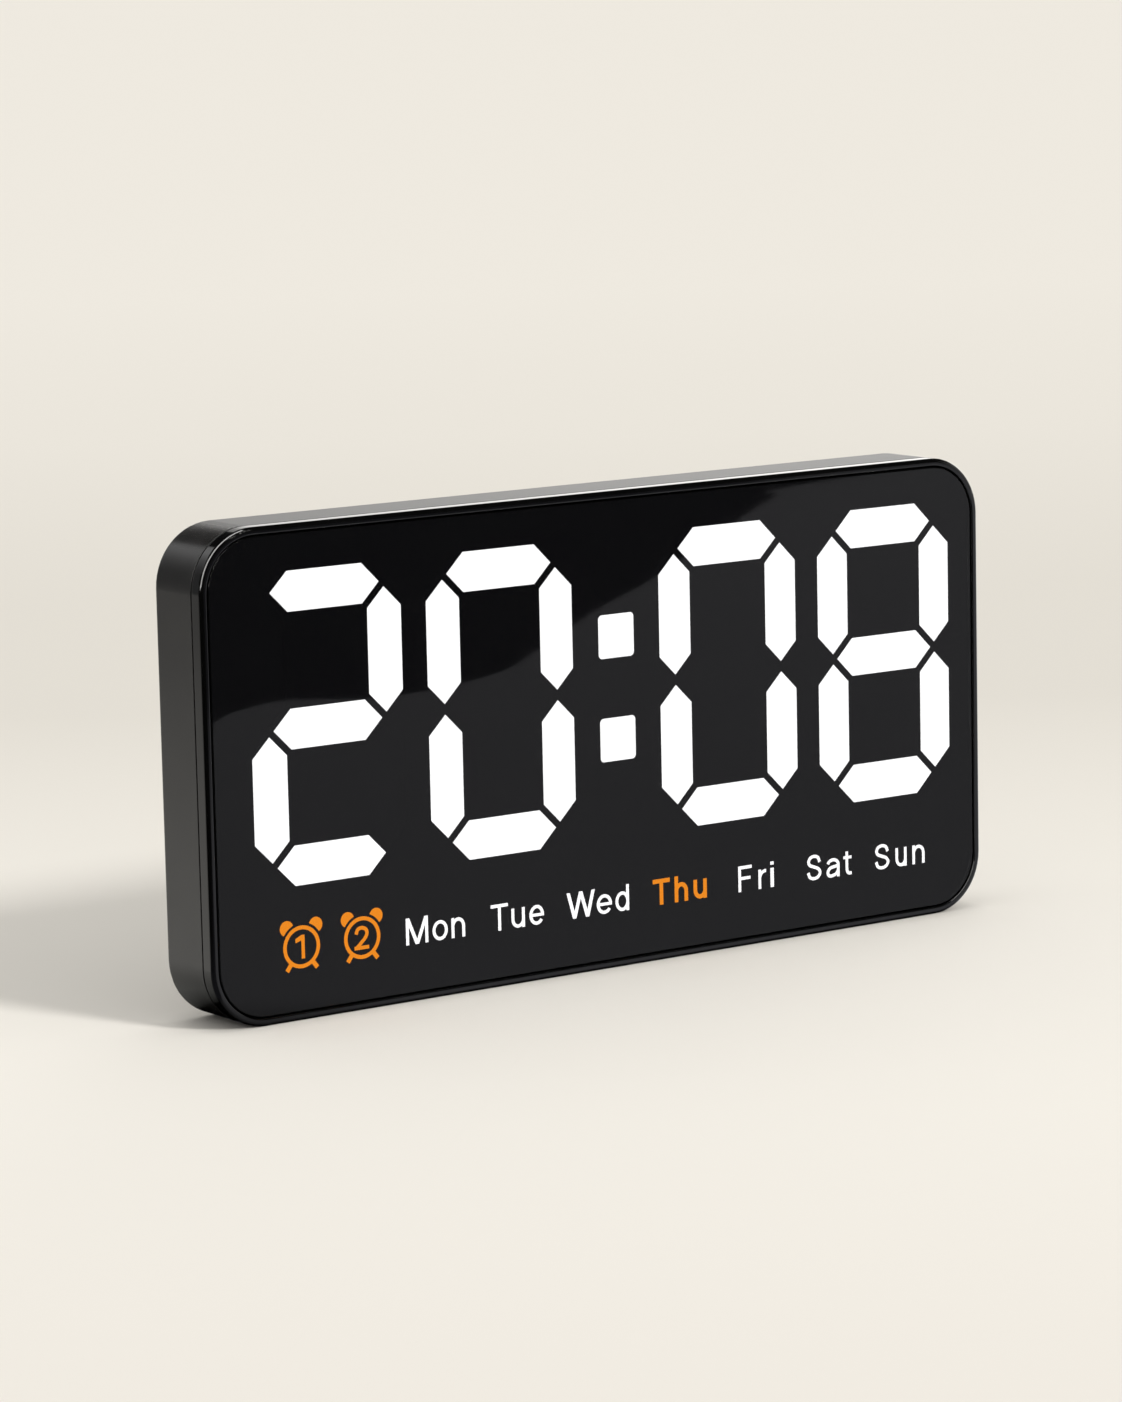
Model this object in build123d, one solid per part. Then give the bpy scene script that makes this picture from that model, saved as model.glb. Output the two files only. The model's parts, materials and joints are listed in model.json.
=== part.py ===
from build123d import *
from math import cos, radians, sin, sqrt
import os

# Digital wall clock. Millimetres, +Z up, the display faces -Y, origin under the middle of the case.
# Depths are measured from the front of the frame towards the back.

# Display layout, seen from the front
digit_width = 45.8
digit_height = 80.2
segment_thickness = 10.4
segment_setback = 1.3  # from the crossing of two centrelines to a segment's tip
digit_gap = 7.5  # between the two digits of a pair
colon_gap = 28.0  # between the two pairs
colon_side = 11.6
colon_corner = 1.2
colon_rise = 27.4  # between the middles of the two dots
left_margin = 14.7
right_margin = 9.1
top_margin = 12.0
legend_gap = 8.8  # between the digits and the legend row
legend_height = 15.0
bottom_margin = 10.5
weekday_count = 7
weekday_height = 10.0
weekday_gap = 3.7  # between two weekday windows
weekday_inset = 57.5  # from the case's left side to the first weekday's window
weekday_end_inset = 16.3  # from the last weekday's window to the case's right side
alarm_count = 2
alarm_width = 15.0
alarm_pitch = 18.3
alarm_inset = 20.1  # from the case's left side to the first alarm window

# Layers, from the front to the back
lens_recess = 0.25
lens_thickness = 1.5
mask_thickness = 0.25
tape_thickness = 0.25
shelf_thickness = 1.5
light_box_flange = 3.8
display_board_thickness = 1.6
board_spacing = 2.85
control_board_thickness = 1.6
component_space = 6.4
back_wall = 2.0

# Frame and case
corner_radius = 16.0
front_round = 1.0
ring_flat = 0.9
ring_edge_round = 0.3
lens_gap = 0.5
lens_edge_round = 0.25
mask_inset = 0.3
shelf_width = 3.3
band_depth = 4.0
seam_width = 0.6
side_wall = 2.0
back_round = 1.2
lip_length = 3.0
lip_thickness = 1.2
lip_fit = 0.15
layer_gap = 0.3  # sideways room round the tape and the light box
board_gap = 0.25

# Light box
diffuser_thickness = 1.0
diffuser_ledge = 0.3
diffuser_fit = 0.05
led_width = 3.0
led_height = 2.8
led_thickness = 0.8

# Screws
screw_fit = 0.05
case_screw_radius = 1.25
case_screw_head_radius = 2.6
case_screw_head = 1.8
case_screw_grip = 5.0
screw_bottom_room = 0.6
boss_radius = 3.0
boss_corner_reach = 10.2  # from the middle of the corner's arc
boss_overrun = 0.85  # past the display board
boss_room = 0.4
pillar_seat = 3.0
pillar_wall = 1.2
head_room = 0.4
board_screw_radius = 1.0
board_screw_head_radius = 1.9
board_screw_head = 1.2
board_screw_grip = 3.2
board_screw_inset = 4.0
board_boss_radius = 2.8
display_screw_rise = 20.5  # above and below the middle of the digits
post_radius = 2.5
post_inset = 27.0
post_rise = 24.0

# Control board
control_width = 120.0
control_height = 48.0
control_top_gap = 6.5
header_pins_count = 10
header_pitch = 2.54
header_width = 5.0
header_height = 1.5
header_pin_radius = 0.32
header_pin_fit = 0.04
header_drop = 20.0
chip_side = 10.0
chip_thickness = 1.6
chip_gap = 8.0  # between the buzzer and the controller chip
chip_drop = 30.0
driver_width = 18.0
driver_height = 7.6
driver_drop = 96.0
crystal_length = 11.0
crystal_width = 4.6
crystal_thickness = 3.5
crystal_gap = 4.0  # between the controller chip and the crystal
capacitor_radius = 3.15
capacitor_height = 5.4
capacitor_gap = 3.0  # between the crystal and the capacitor
capacitor_drop = 28.0
resistor_count = 8
resistor_length = 2.0
resistor_width = 1.2
resistor_thickness = 0.6
resistor_pitch = 3.0
resistor_drop = 86.0
buzzer_radius = 6.0
buzzer_height = 5.8
buzzer_drop = 34.0
sound_hole_radius = 0.9
sound_hole_ring = 3.2
sound_hole_count = 6

# Push buttons and their switches
button_names = ["set", "alarm", "up", "down", "light"]
button_pitch = 14.0
button_drop = 14.5
button_radius = 3.4
button_dish = 0.4
button_flange_radius = 4.4
button_flange = 1.0
button_sink = 0.2
button_hole_gap = 0.25
button_stop_gap = 0.2
switch_side = 6.0
switch_height = 3.5
plunger_radius = 1.6
plunger_fit = 0.15
plunger_depth = 0.7
plunger_well = 1.5
plunger_touch = 0.03

# Backup cell and its twist cover
cell_inset = 24.0  # from the control board's right end
cell_drop = 38.5
cell_radius = 10.0
cell_thickness = 3.2
cell_fit = 0.15
holder_base = 0.8
holder_wall = 1.4
holder_rise = 2.4
contact_thickness = 0.4
contact_width = 4.0
cover_radius = 13.0
cover_gap = 0.25
cover_sink = 0.2
cover_thickness = 1.1
cover_ledge = 0.6
cover_ledge_width = 1.8
cover_lug_width = 6.0
cover_lug_thickness = 0.6
cover_lug_overlap = 1.4
cover_twist = 45.0
cover_cell_gap = 0.2
coin_slot_length = 14.0
coin_slot_width = 1.8
coin_slot_depth = 0.6

# Power jack, its pocket and the cable channel
jack_inset = 13.0  # from the control board's left end
jack_width = 7.0
jack_height = 6.0
jack_length = 10.0
jack_overhang = 2.2
jack_nose_radius = 2.5
jack_nose_fit = 0.15
jack_bore_radius = 1.85
jack_bore_depth = 8.5
jack_pin_radius = 0.65
jack_pin_sink = 1.0
pocket_width = 14.0
pocket_height = 24.0
pocket_depth = 9.6
pocket_wall = 1.6
channel_width = 5.0
channel_depth = 8.0
seat_gap = 0.2

# Fold-out stand
stand_width = 42.0
stand_length = 64.0
stand_thickness = 3.6
stand_angle = 40.0
stand_sink = 0.5
stand_floor_gap = 0.5
stand_side_gap = 0.5
stand_bottom_gap = 1.5
stand_corner = 6.0
stand_heel = 1.2
stand_stop_gap = 0.1
stand_top_gap = 0.4
stand_wall = 2.0
stand_pin_radius = 1.0
stand_pin_fit = 0.05
stand_pin_bite = 1.6
stand_pad_width = 28.0
stand_pad_height = 1.2

# Wall keyholes
keyhole_spacing = 150.0
keyhole_drop = 28.0
keyhole_radius = 4.5
keyhole_slot_width = 4.4
keyhole_rise = 8.0

# Sizes worked out from the values above
case_width = left_margin + 4 * digit_width + 2 * digit_gap + colon_gap + right_margin
case_height = bottom_margin + legend_height + legend_gap + digit_height + top_margin
case_bottom = 0.0
case_top = case_bottom + case_height
case_middle = (case_bottom + case_top) / 2
case_left = -case_width / 2

mask_front = lens_recess + lens_thickness
mask_back = mask_front + mask_thickness
shelf_front = mask_back + tape_thickness
shelf_back = shelf_front + shelf_thickness
diffuser_front = mask_back + diffuser_fit
ledge_front = diffuser_front + diffuser_thickness
light_box_back = shelf_back + light_box_flange
display_back = light_box_back + display_board_thickness
control_front = display_back + board_spacing
control_back = control_front + control_board_thickness
wall_front = control_back + component_space
case_depth = wall_front + back_wall
seam_back = band_depth + seam_width
boss_back = display_back + boss_overrun

ring_inset = front_round + ring_flat
lens_inset = ring_inset + lens_gap
tape_inset = lens_inset + mask_inset
shelf_inset = ring_inset + shelf_width
island_inset = shelf_inset + layer_gap
lip_outer_inset = side_wall + lip_fit
lip_inset = lip_outer_inset + lip_thickness
flange_inset = lip_inset + layer_gap
board_inset = flange_inset + board_gap

digit_step = digit_width + digit_gap
first_digit_x = case_left + left_margin + digit_width / 2
third_digit_x = first_digit_x + digit_step + digit_width + colon_gap
digit_centres = [first_digit_x, first_digit_x + digit_step, third_digit_x, third_digit_x + digit_step]
digit_middle = case_top - top_margin - digit_height / 2
colon_x = (digit_centres[1] + digit_centres[2]) / 2
legend_middle = case_bottom + bottom_margin + legend_height / 2
weekday_row = case_width - weekday_inset - weekday_end_inset
weekday_width = (weekday_row - (weekday_count - 1) * weekday_gap) / weekday_count
weekday_pitch = weekday_width + weekday_gap
arm_x = (digit_width - segment_thickness) / 2
arm_z = (digit_height - segment_thickness) / 2

control_top = case_top - control_top_gap
control_bottom = control_top - control_height
control_middle = (control_top + control_bottom) / 2
control_left = -control_width / 2
control_right = control_width / 2
chip_x = -(buzzer_radius + chip_gap + chip_side / 2)
chip_z = case_top - chip_drop
crystal_x = chip_x - chip_side / 2 - crystal_gap - crystal_length / 2
capacitor_x = crystal_x - crystal_length / 2 - capacitor_gap - capacitor_radius
cell_x = control_right - cell_inset
jack_x = control_left + jack_inset
button_z = case_top - button_drop
header_z = case_top - header_drop
cell_z = case_top - cell_drop
buzzer_z = case_top - buzzer_drop
keyhole_z = case_top - keyhole_drop

jack_bottom = control_bottom - jack_overhang
pocket_top = jack_bottom - seat_gap - pocket_wall
pocket_bottom = pocket_top - pocket_height
jack_axis_depth = control_back + jack_height / 2

stand_foot = case_bottom + stand_bottom_gap
hinge_z = stand_foot + stand_length
hinge_depth = case_depth - stand_sink - stand_thickness / 2
recess_depth = stand_sink + stand_thickness + stand_floor_gap
recess_width = stand_width + 2 * stand_side_gap
floor_reach = stand_thickness / 2 + stand_floor_gap  # from the hinge axis to the recess floor
stop_reach = floor_reach - stand_stop_gap
heel_rise = (stop_reach - stand_heel * cos(radians(stand_angle))) / sin(radians(stand_angle))
recess_top = hinge_z + sqrt(stand_heel**2 + heel_rise**2) + stand_top_gap

# Which segments are lit at 20:08; the letters run A to G from the top bar clockwise, with G the middle bar
lit_segments = {
    "hour_tens": "ABDEG",
    "hour_ones": "ABCDEF",
    "minute_tens": "ABCDEF",
    "minute_ones": "ABCDEFG",
}
segment_letters = "ABCDEFG"


def at_depth(depth):
    """Plane parallel to the front, with its x to the clock's right and its y up."""
    return Plane(origin=(0, depth - case_depth / 2, 0), x_dir=(1, 0, 0), z_dir=(0, -1, 0))


def slab(outline, front, back):
    """Solid of an outline between two depths."""
    return extrude(at_depth(back) * outline, amount=back - front)


def block(x, z, width, height, front, back):
    return slab(Pos(x, z) * Rectangle(width, height), front, back)


def rod(x, z, radius, front, back):
    return slab(Pos(x, z) * Circle(radius), front, back)


def case_outline(inset):
    """The case's rounded outline, drawn in by an inset on every side."""
    outline = RectangleRounded(case_width - 2 * inset, case_height - 2 * inset, corner_radius - inset)
    return Pos(0, case_middle) * outline


def upright_rod(x, depth, radius, low, high):
    return Pos(x, depth - case_depth / 2, (low + high) / 2) * Cylinder(radius, high - low)


def mirrored(x, z):
    """The four places that mirror a place about the case's two middle lines."""
    return [(sx * x, case_middle + sz * z) for sx in (-1, 1) for sz in (-1, 1)]


boss_x = case_width / 2 - corner_radius + boss_corner_reach / sqrt(2)
boss_z = case_height / 2 - corner_radius + boss_corner_reach / sqrt(2)
boss_places = mirrored(boss_x, boss_z)
post_places = mirrored(case_width / 2 - post_inset, post_rise)
control_screw_x = control_right - board_screw_inset
control_screw_z = control_height / 2 - board_screw_inset
control_screw_places = [
    (sx * control_screw_x, control_middle + sz * control_screw_z) for sx in (-1, 1) for sz in (-1, 1)
]
pair_gaps = [(digit_centres[0] + digit_centres[1]) / 2, (digit_centres[2] + digit_centres[3]) / 2]
display_screw_places = [(x, digit_middle + s * display_screw_rise) for x in pair_gaps for s in (-1, 1)]
first_button_x = -(len(button_names) - 1) / 2 * button_pitch
button_places = [(first_button_x + i * button_pitch, button_z) for i in range(len(button_names))]


# Display windows


def bar(half_length, grow):
    """A six-sided segment lying along x, its sides moved out by grow."""
    tip = half_length + grow * sqrt(2)
    half = segment_thickness / 2 + grow
    corner = tip - half
    return Polygon(
        (-tip, 0), (-corner, -half), (corner, -half), (tip, 0), (corner, half), (-corner, half), align=None
    )


def segment_place(digit, letter):
    x = digit_centres[digit]
    side = {"A": 0, "B": 1, "C": 1, "D": 0, "E": -1, "F": -1, "G": 0}[letter]
    level = {"A": 2, "B": 1, "C": -1, "D": -2, "E": -1, "F": 1, "G": 0}[letter]
    return x + side * arm_x, digit_middle + level * arm_z / 2


def segment_is_flat(letter):
    return letter in "ADG"


def segment_half_length(letter):
    if segment_is_flat(letter):
        return arm_x - segment_setback
    return arm_z / 2 - segment_setback


def segment(digit, letter, grow=0):
    shape = bar(segment_half_length(letter), grow)
    if not segment_is_flat(letter):
        shape = Rot(Z=90) * shape
    return Pos(*segment_place(digit, letter)) * shape


def all_segments(grow=0):
    return [segment(digit, letter, grow) for digit in range(len(digit_centres)) for letter in segment_letters]


def colon_places():
    return [(colon_x, digit_middle + s * colon_rise / 2) for s in (1, -1)]


def colon_dots(grow=0):
    side = colon_side + 2 * grow
    return [Pos(x, z) * RectangleRounded(side, side, colon_corner + grow) for x, z in colon_places()]


def weekday_places():
    first = case_left + weekday_inset + weekday_width / 2
    return [(first + i * weekday_pitch, legend_middle) for i in range(weekday_count)]


def alarm_places():
    first = case_left + alarm_inset + alarm_width / 2
    return [(first + i * alarm_pitch, legend_middle) for i in range(alarm_count)]


def legend_windows(places, width, height, grow=0):
    return [Pos(x, z) * Rectangle(width + 2 * grow, height + 2 * grow) for x, z in places]


def weekday_windows(grow=0):
    return legend_windows(weekday_places(), weekday_width, weekday_height, grow)


def alarm_windows(grow=0):
    return legend_windows(alarm_places(), alarm_width, legend_height, grow)


def all_windows(grow=0):
    return all_segments(grow) + colon_dots(grow) + weekday_windows(grow) + alarm_windows(grow)


def diffusers(outlines):
    return Compound([slab(outline, diffuser_front, ledge_front).solid() for outline in outlines])


# Front frame, lens and display


def make_front_bezel():
    band = slab(case_outline(0), 0, band_depth)
    band = fillet(band.faces().sort_by(Axis.Y)[0].edges(), front_round)
    lip = slab(case_outline(lip_outer_inset), band_depth, band_depth + lip_length)
    bezel = band + lip
    bezel -= slab(case_outline(ring_inset), 0, shelf_front)
    bezel -= slab(case_outline(shelf_inset), shelf_front, shelf_back)
    bezel -= slab(case_outline(lip_inset), shelf_back, band_depth + lip_length)
    ring = bezel.faces().sort_by(Axis.Y)[0]
    bezel = fillet(ring.inner_wires()[0].edges(), ring_edge_round)
    for x, z in boss_places:
        bezel += rod(x, z, boss_radius, shelf_front, boss_back)
    pilot_front = boss_back - case_screw_grip - screw_bottom_room
    for x, z in boss_places:
        bezel -= rod(x, z, case_screw_radius + screw_fit, pilot_front, boss_back)
    return bezel.solid()


def make_display_lens():
    lens = slab(case_outline(lens_inset), lens_recess, mask_front)
    return fillet(lens.faces().sort_by(Axis.Y)[0].edges(), lens_edge_round).solid()


def make_legend_mask():
    return slab(case_outline(tape_inset) - all_segments() - colon_dots(), mask_front, mask_back).solid()


def make_lens_tape():
    return slab(case_outline(tape_inset) - case_outline(shelf_inset), mask_back, shelf_front).solid()


def make_light_box():
    seats = all_windows(diffuser_ledge + diffuser_fit)
    wells = all_windows()
    bosses = [Pos(x, z) * Circle(boss_radius + boss_room) for x, z in boss_places]
    box = slab(case_outline(island_inset) - seats - bosses, diffuser_front, ledge_front)
    box += slab(case_outline(island_inset) - wells - bosses, ledge_front, shelf_back)
    box += slab(case_outline(flange_inset) - wells - bosses, shelf_back, light_box_back)
    pilot_front = light_box_back - board_screw_grip - screw_bottom_room
    for x, z in display_screw_places:
        box -= rod(x, z, board_screw_radius + screw_fit, pilot_front, light_box_back)
    return box.solid()


def make_display_board():
    bosses = [Pos(x, z) * Circle(boss_radius + boss_room) for x, z in boss_places]
    holes = [Pos(x, z) * Circle(board_screw_radius + screw_fit) for x, z in display_screw_places]
    return slab(case_outline(board_inset) - bosses - holes, light_box_back, display_back).solid()


def led_places():
    places = []
    for digit in range(len(digit_centres)):
        for letter in segment_letters:
            x, z = segment_place(digit, letter)
            reach = segment_half_length(letter) / 2
            for s in (-1, 1):
                places.append((x + s * reach, z) if segment_is_flat(letter) else (x, z + s * reach))
    places += colon_places() + alarm_places()
    places += [(x + s * weekday_width / 4, z) for x, z in weekday_places() for s in (-1, 1)]
    return places


def make_led_chips():
    front = light_box_back - led_thickness
    return Compound([
        block(x, z, led_width, led_height, front, light_box_back).solid() for x, z in led_places()
    ])


def screw(x, z, radius, head_radius, under_head, tip, head):
    """A pan head screw; the head stands on the depth under_head, on the side away from the tip."""
    top = under_head + head if under_head > tip else under_head - head
    shank = rod(x, z, radius, min(tip, under_head), max(tip, under_head))
    cap = rod(x, z, head_radius, min(under_head, top), max(under_head, top))
    return (shank + cap).solid()


def make_display_screws():
    tip = light_box_back - board_screw_grip
    return Compound([
        screw(x, z, board_screw_radius, board_screw_head_radius, display_back, tip, board_screw_head)
        for x, z in display_screw_places
    ])


def make_driver_chip():
    z = case_top - driver_drop
    return block(0, z, driver_width, driver_height, display_back, display_back + chip_thickness).solid()


def make_chip_resistors():
    z = case_top - resistor_drop
    back = display_back + resistor_thickness
    first = -(resistor_count - 1) / 2 * resistor_pitch
    return Compound([
        block(first + i * resistor_pitch, z, resistor_width, resistor_length, display_back, back).solid()
        for i in range(resistor_count)
    ])


# Control board and what it carries


def header_pin_places():
    first = -(header_pins_count - 1) / 2 * header_pitch
    return [(first + i * header_pitch, header_z) for i in range(header_pins_count)]


def header_block(front, back):
    outline = Pos(0, header_z) * Rectangle(header_pins_count * header_pitch, header_width)
    holes = [Pos(x, z) * Circle(header_pin_radius + header_pin_fit) for x, z in header_pin_places()]
    return slab(outline - holes, front, back).solid()


def make_board_header():
    return header_block(display_back, display_back + header_height)


def make_board_socket():
    return header_block(display_back + header_height, control_front)


def make_header_pins():
    return Compound([
        rod(x, z, header_pin_radius, display_back, control_front).solid() for x, z in header_pin_places()
    ])


def make_control_board():
    outline = Pos(0, control_middle) * Rectangle(control_width, control_height)
    holes = [Pos(x, z) * Circle(board_screw_radius + screw_fit) for x, z in control_screw_places]
    return slab(outline - holes, control_front, control_back).solid()


def make_control_screws():
    tip = control_back + board_screw_grip
    return Compound([
        screw(x, z, board_screw_radius, board_screw_head_radius, control_front, tip, board_screw_head)
        for x, z in control_screw_places
    ])


def make_controller_chip():
    return block(chip_x, chip_z, chip_side, chip_side, control_back, control_back + chip_thickness).solid()


def make_clock_crystal():
    outline = Pos(crystal_x, chip_z) * SlotOverall(crystal_length, crystal_width)
    return slab(outline, control_back, control_back + crystal_thickness).solid()


def make_smoothing_capacitor():
    z = case_top - capacitor_drop
    return rod(capacitor_x, z, capacitor_radius, control_back, control_back + capacitor_height).solid()


def make_buzzer():
    back = control_back + buzzer_height
    body = rod(0, buzzer_z, buzzer_radius, control_back, back)
    return (body - rod(0, buzzer_z, sound_hole_radius, back - buzzer_height / 2, back)).solid()


def sound_holes():
    ring = PolarLocations(sound_hole_ring, sound_hole_count)
    holes = [Pos(0, buzzer_z) * place * Circle(sound_hole_radius) for place in ring]
    return holes + [Pos(0, buzzer_z) * Circle(sound_hole_radius)]


def make_button_switches():
    switch_back = control_back + switch_height
    switches = []
    for x, z in button_places:
        body = block(x, z, switch_side, switch_side, control_back, switch_back)
        body -= rod(x, z, plunger_radius + plunger_fit, switch_back - plunger_well, switch_back)
        switches.append(body.solid())
    return Compound(switches)


flange_back = wall_front - button_stop_gap
flange_front = flange_back - button_flange


def make_plunger(x, z):
    front = control_back + switch_height - plunger_depth
    return rod(x, z, plunger_radius, front, flange_front - plunger_touch).solid()


def make_button(x, z):
    cap_back = case_depth - button_sink
    cap = rod(x, z, button_radius, flange_front, cap_back)
    dish_radius = (button_radius**2 + button_dish**2) / (2 * button_dish)
    dish = Pos(x, cap_back - button_dish + dish_radius - case_depth / 2, z) * Sphere(dish_radius)
    return (cap + rod(x, z, button_flange_radius, flange_front, flange_back) - dish).solid()


# Backup cell

holder_floor = control_back + holder_base
cell_front = holder_floor + contact_thickness
cell_back = cell_front + cell_thickness
holder_radius = cell_radius + cell_fit + holder_wall
cover_back = case_depth - cover_sink
cover_seat = cover_back - cover_thickness
ledge_radius = cover_radius + cover_gap - cover_ledge_width
hub_radius = ledge_radius - cover_gap
lug_reach = hub_radius + cover_lug_overlap
contact_reach = cell_radius + cell_fit + contact_thickness  # from the cell's axis to its side contact's back


def make_cell_holder():
    holder = rod(cell_x, cell_z, holder_radius, control_back, holder_floor + holder_rise)
    bore = Pos(cell_x, cell_z) * Circle(cell_radius + cell_fit)
    contact_slot = Pos(cell_x - contact_reach / 2, cell_z) * Rectangle(contact_reach, contact_width)
    return (holder - slab(bore + contact_slot, holder_floor, holder_floor + holder_rise)).solid()


def make_cell_contacts():
    strip = block(cell_x, cell_z, cell_radius, contact_width, holder_floor, cell_front)
    side_x = cell_x - contact_reach + contact_thickness / 2
    side = block(side_x, cell_z, contact_thickness, contact_width, holder_floor, holder_floor + holder_rise)
    return Compound([strip.solid(), side.solid()])


def make_backup_cell():
    return rod(cell_x, cell_z, cell_radius, cell_front, cell_back).solid()


def lug_bar(grow):
    """The strip across the cover whose two ends are the locking lugs."""
    return Rectangle(2 * (lug_reach + grow), cover_lug_width + 2 * grow) & Circle(lug_reach + grow)


def make_battery_cover():
    place = Pos(cell_x, cell_z)
    cover = rod(cell_x, cell_z, cover_radius, cover_seat, cover_back)
    cover += rod(cell_x, cell_z, hub_radius, cell_back + cover_cell_gap, cover_seat)
    lug_back = wall_front - cover_gap
    cover += slab(place * lug_bar(0), lug_back - cover_lug_thickness, lug_back)
    slot = place * SlotOverall(coin_slot_length, coin_slot_width)
    return (cover - slab(slot, cover_back - coin_slot_depth, cover_back)).solid()


# Power jack


def make_dc_jack():
    middle = jack_bottom + jack_length / 2
    body = block(jack_x, middle, jack_width, jack_length, control_back, control_back + jack_height)
    jack = body + upright_rod(jack_x, jack_axis_depth, jack_nose_radius, pocket_top, jack_bottom)
    bore_top = pocket_top + jack_bore_depth
    return (jack - upright_rod(jack_x, jack_axis_depth, jack_bore_radius, pocket_top, bore_top)).solid()


def make_jack_pin():
    bore_top = pocket_top + jack_bore_depth
    return upright_rod(jack_x, jack_axis_depth, jack_pin_radius, pocket_top + jack_pin_sink, bore_top).solid()


# Fold-out stand


def make_stand_leg():
    half = stand_thickness / 2
    low = stand_foot + stand_pad_height - hinge_z
    profile = Polygon(
        (-half, low),
        (half, low),
        (half, stand_heel),
        (stand_heel, heel_rise),
        (-stand_heel, heel_rise),
        (-half, stand_heel / 2),
        align=None,
    )
    side = Plane(
        origin=(-stand_width / 2, hinge_depth - case_depth / 2, hinge_z), x_dir=(0, 1, 0), z_dir=(1, 0, 0)
    )
    leg = extrude(side * profile, amount=stand_width)
    corners = leg.edges().filter_by(Axis.Y).group_by(Axis.Z)[0]
    leg = fillet(corners, stand_corner)
    return (leg - hinge_rod(stand_pin_radius + stand_pin_fit, stand_width)).solid()


def hinge_rod(radius, length):
    return Pos(0, hinge_depth - case_depth / 2, hinge_z) * Rot(Y=90) * Cylinder(radius, length)


def make_stand_pin():
    return hinge_rod(stand_pin_radius, recess_width + 2 * stand_pin_bite).solid()


def make_stand_pad():
    front = hinge_depth - stand_thickness / 2
    z = stand_foot + stand_pad_height / 2
    return block(0, z, stand_pad_width, stand_pad_height, front, front + stand_thickness).solid()


# Rear case


def spanning(x, width, low, high, front, back):
    """A block between two heights."""
    return block(x, (low + high) / 2, width, high - low, front, back)


def keyhole(x):
    slot = Pos(x, keyhole_z + keyhole_rise / 2) * Rectangle(keyhole_slot_width, keyhole_rise)
    slot_end = Pos(x, keyhole_z + keyhole_rise) * Circle(keyhole_slot_width / 2)
    return slab(Pos(x, keyhole_z) * Circle(keyhole_radius) + slot + slot_end, wall_front, case_depth)


screw_seat = boss_back + pillar_seat
head_hole_radius = case_screw_head_radius + head_room


def make_case_screws():
    tip = boss_back - case_screw_grip
    return Compound([
        screw(x, z, case_screw_radius, case_screw_head_radius, screw_seat, tip, case_screw_head)
        for x, z in boss_places
    ])


def make_rear_case():
    shell = slab(case_outline(0), seam_back, case_depth)
    shell = fillet(shell.faces().sort_by(Axis.Y)[-1].edges(), back_round)
    shell -= slab(case_outline(side_wall), seam_back, wall_front)

    for x, z in boss_places:
        shell += rod(x, z, head_hole_radius + pillar_wall, boss_back, wall_front) & slab(
            case_outline(0), boss_back, wall_front
        )
    for x, z in post_places:
        shell += rod(x, z, post_radius, display_back, wall_front)
    for x, z in control_screw_places:
        shell += rod(x, z, board_boss_radius, control_back, wall_front)
    pocket_floor = case_depth - pocket_depth
    channel_floor = case_depth - channel_depth
    shell += spanning(
        jack_x,
        pocket_width + 2 * pocket_wall,
        pocket_bottom - pocket_wall,
        pocket_top + pocket_wall,
        pocket_floor - pocket_wall,
        wall_front,
    )
    shell += spanning(
        jack_x,
        channel_width + 2 * pocket_wall,
        case_bottom + side_wall,
        pocket_bottom,
        channel_floor - pocket_wall,
        wall_front,
    )
    shell += spanning(
        0,
        recess_width + 2 * stand_wall,
        case_bottom + side_wall,
        recess_top + stand_wall,
        case_depth - recess_depth - stand_wall,
        wall_front,
    )

    for x, z in boss_places:
        shell -= rod(x, z, head_hole_radius, screw_seat, case_depth)
        shell -= rod(x, z, case_screw_radius + screw_fit, boss_back, screw_seat)
    pilot_back = control_back + board_screw_grip + screw_bottom_room
    for x, z in control_screw_places:
        shell -= rod(x, z, board_screw_radius + screw_fit, control_back, pilot_back)
    shell -= spanning(jack_x, pocket_width, pocket_bottom, pocket_top, pocket_floor, case_depth)
    shell -= spanning(jack_x, channel_width, case_bottom, pocket_bottom, channel_floor, case_depth)
    nose_hole = jack_nose_radius + jack_nose_fit
    shell -= upright_rod(jack_x, jack_axis_depth, nose_hole, pocket_top, pocket_top + pocket_wall)
    shell -= spanning(0, recess_width, case_bottom, recess_top, case_depth - recess_depth, case_depth)
    shell -= hinge_rod(stand_pin_radius + stand_pin_fit, recess_width + 2 * stand_wall)
    for x in (-keyhole_spacing / 2, keyhole_spacing / 2):
        shell -= keyhole(x)
    for x, z in button_places:
        shell -= rod(x, z, button_radius + button_hole_gap, wall_front, case_depth)
    for hole in sound_holes():
        shell -= slab(hole, wall_front, case_depth)
    shell -= rod(cell_x, cell_z, cover_radius + cover_gap, wall_front + cover_ledge, case_depth)
    ledge_hole = Pos(cell_x, cell_z) * (Circle(ledge_radius) + Rot(Z=-cover_twist) * lug_bar(cover_gap))
    shell -= slab(ledge_hole, wall_front, wall_front + cover_ledge)
    return shell.solid()


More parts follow.
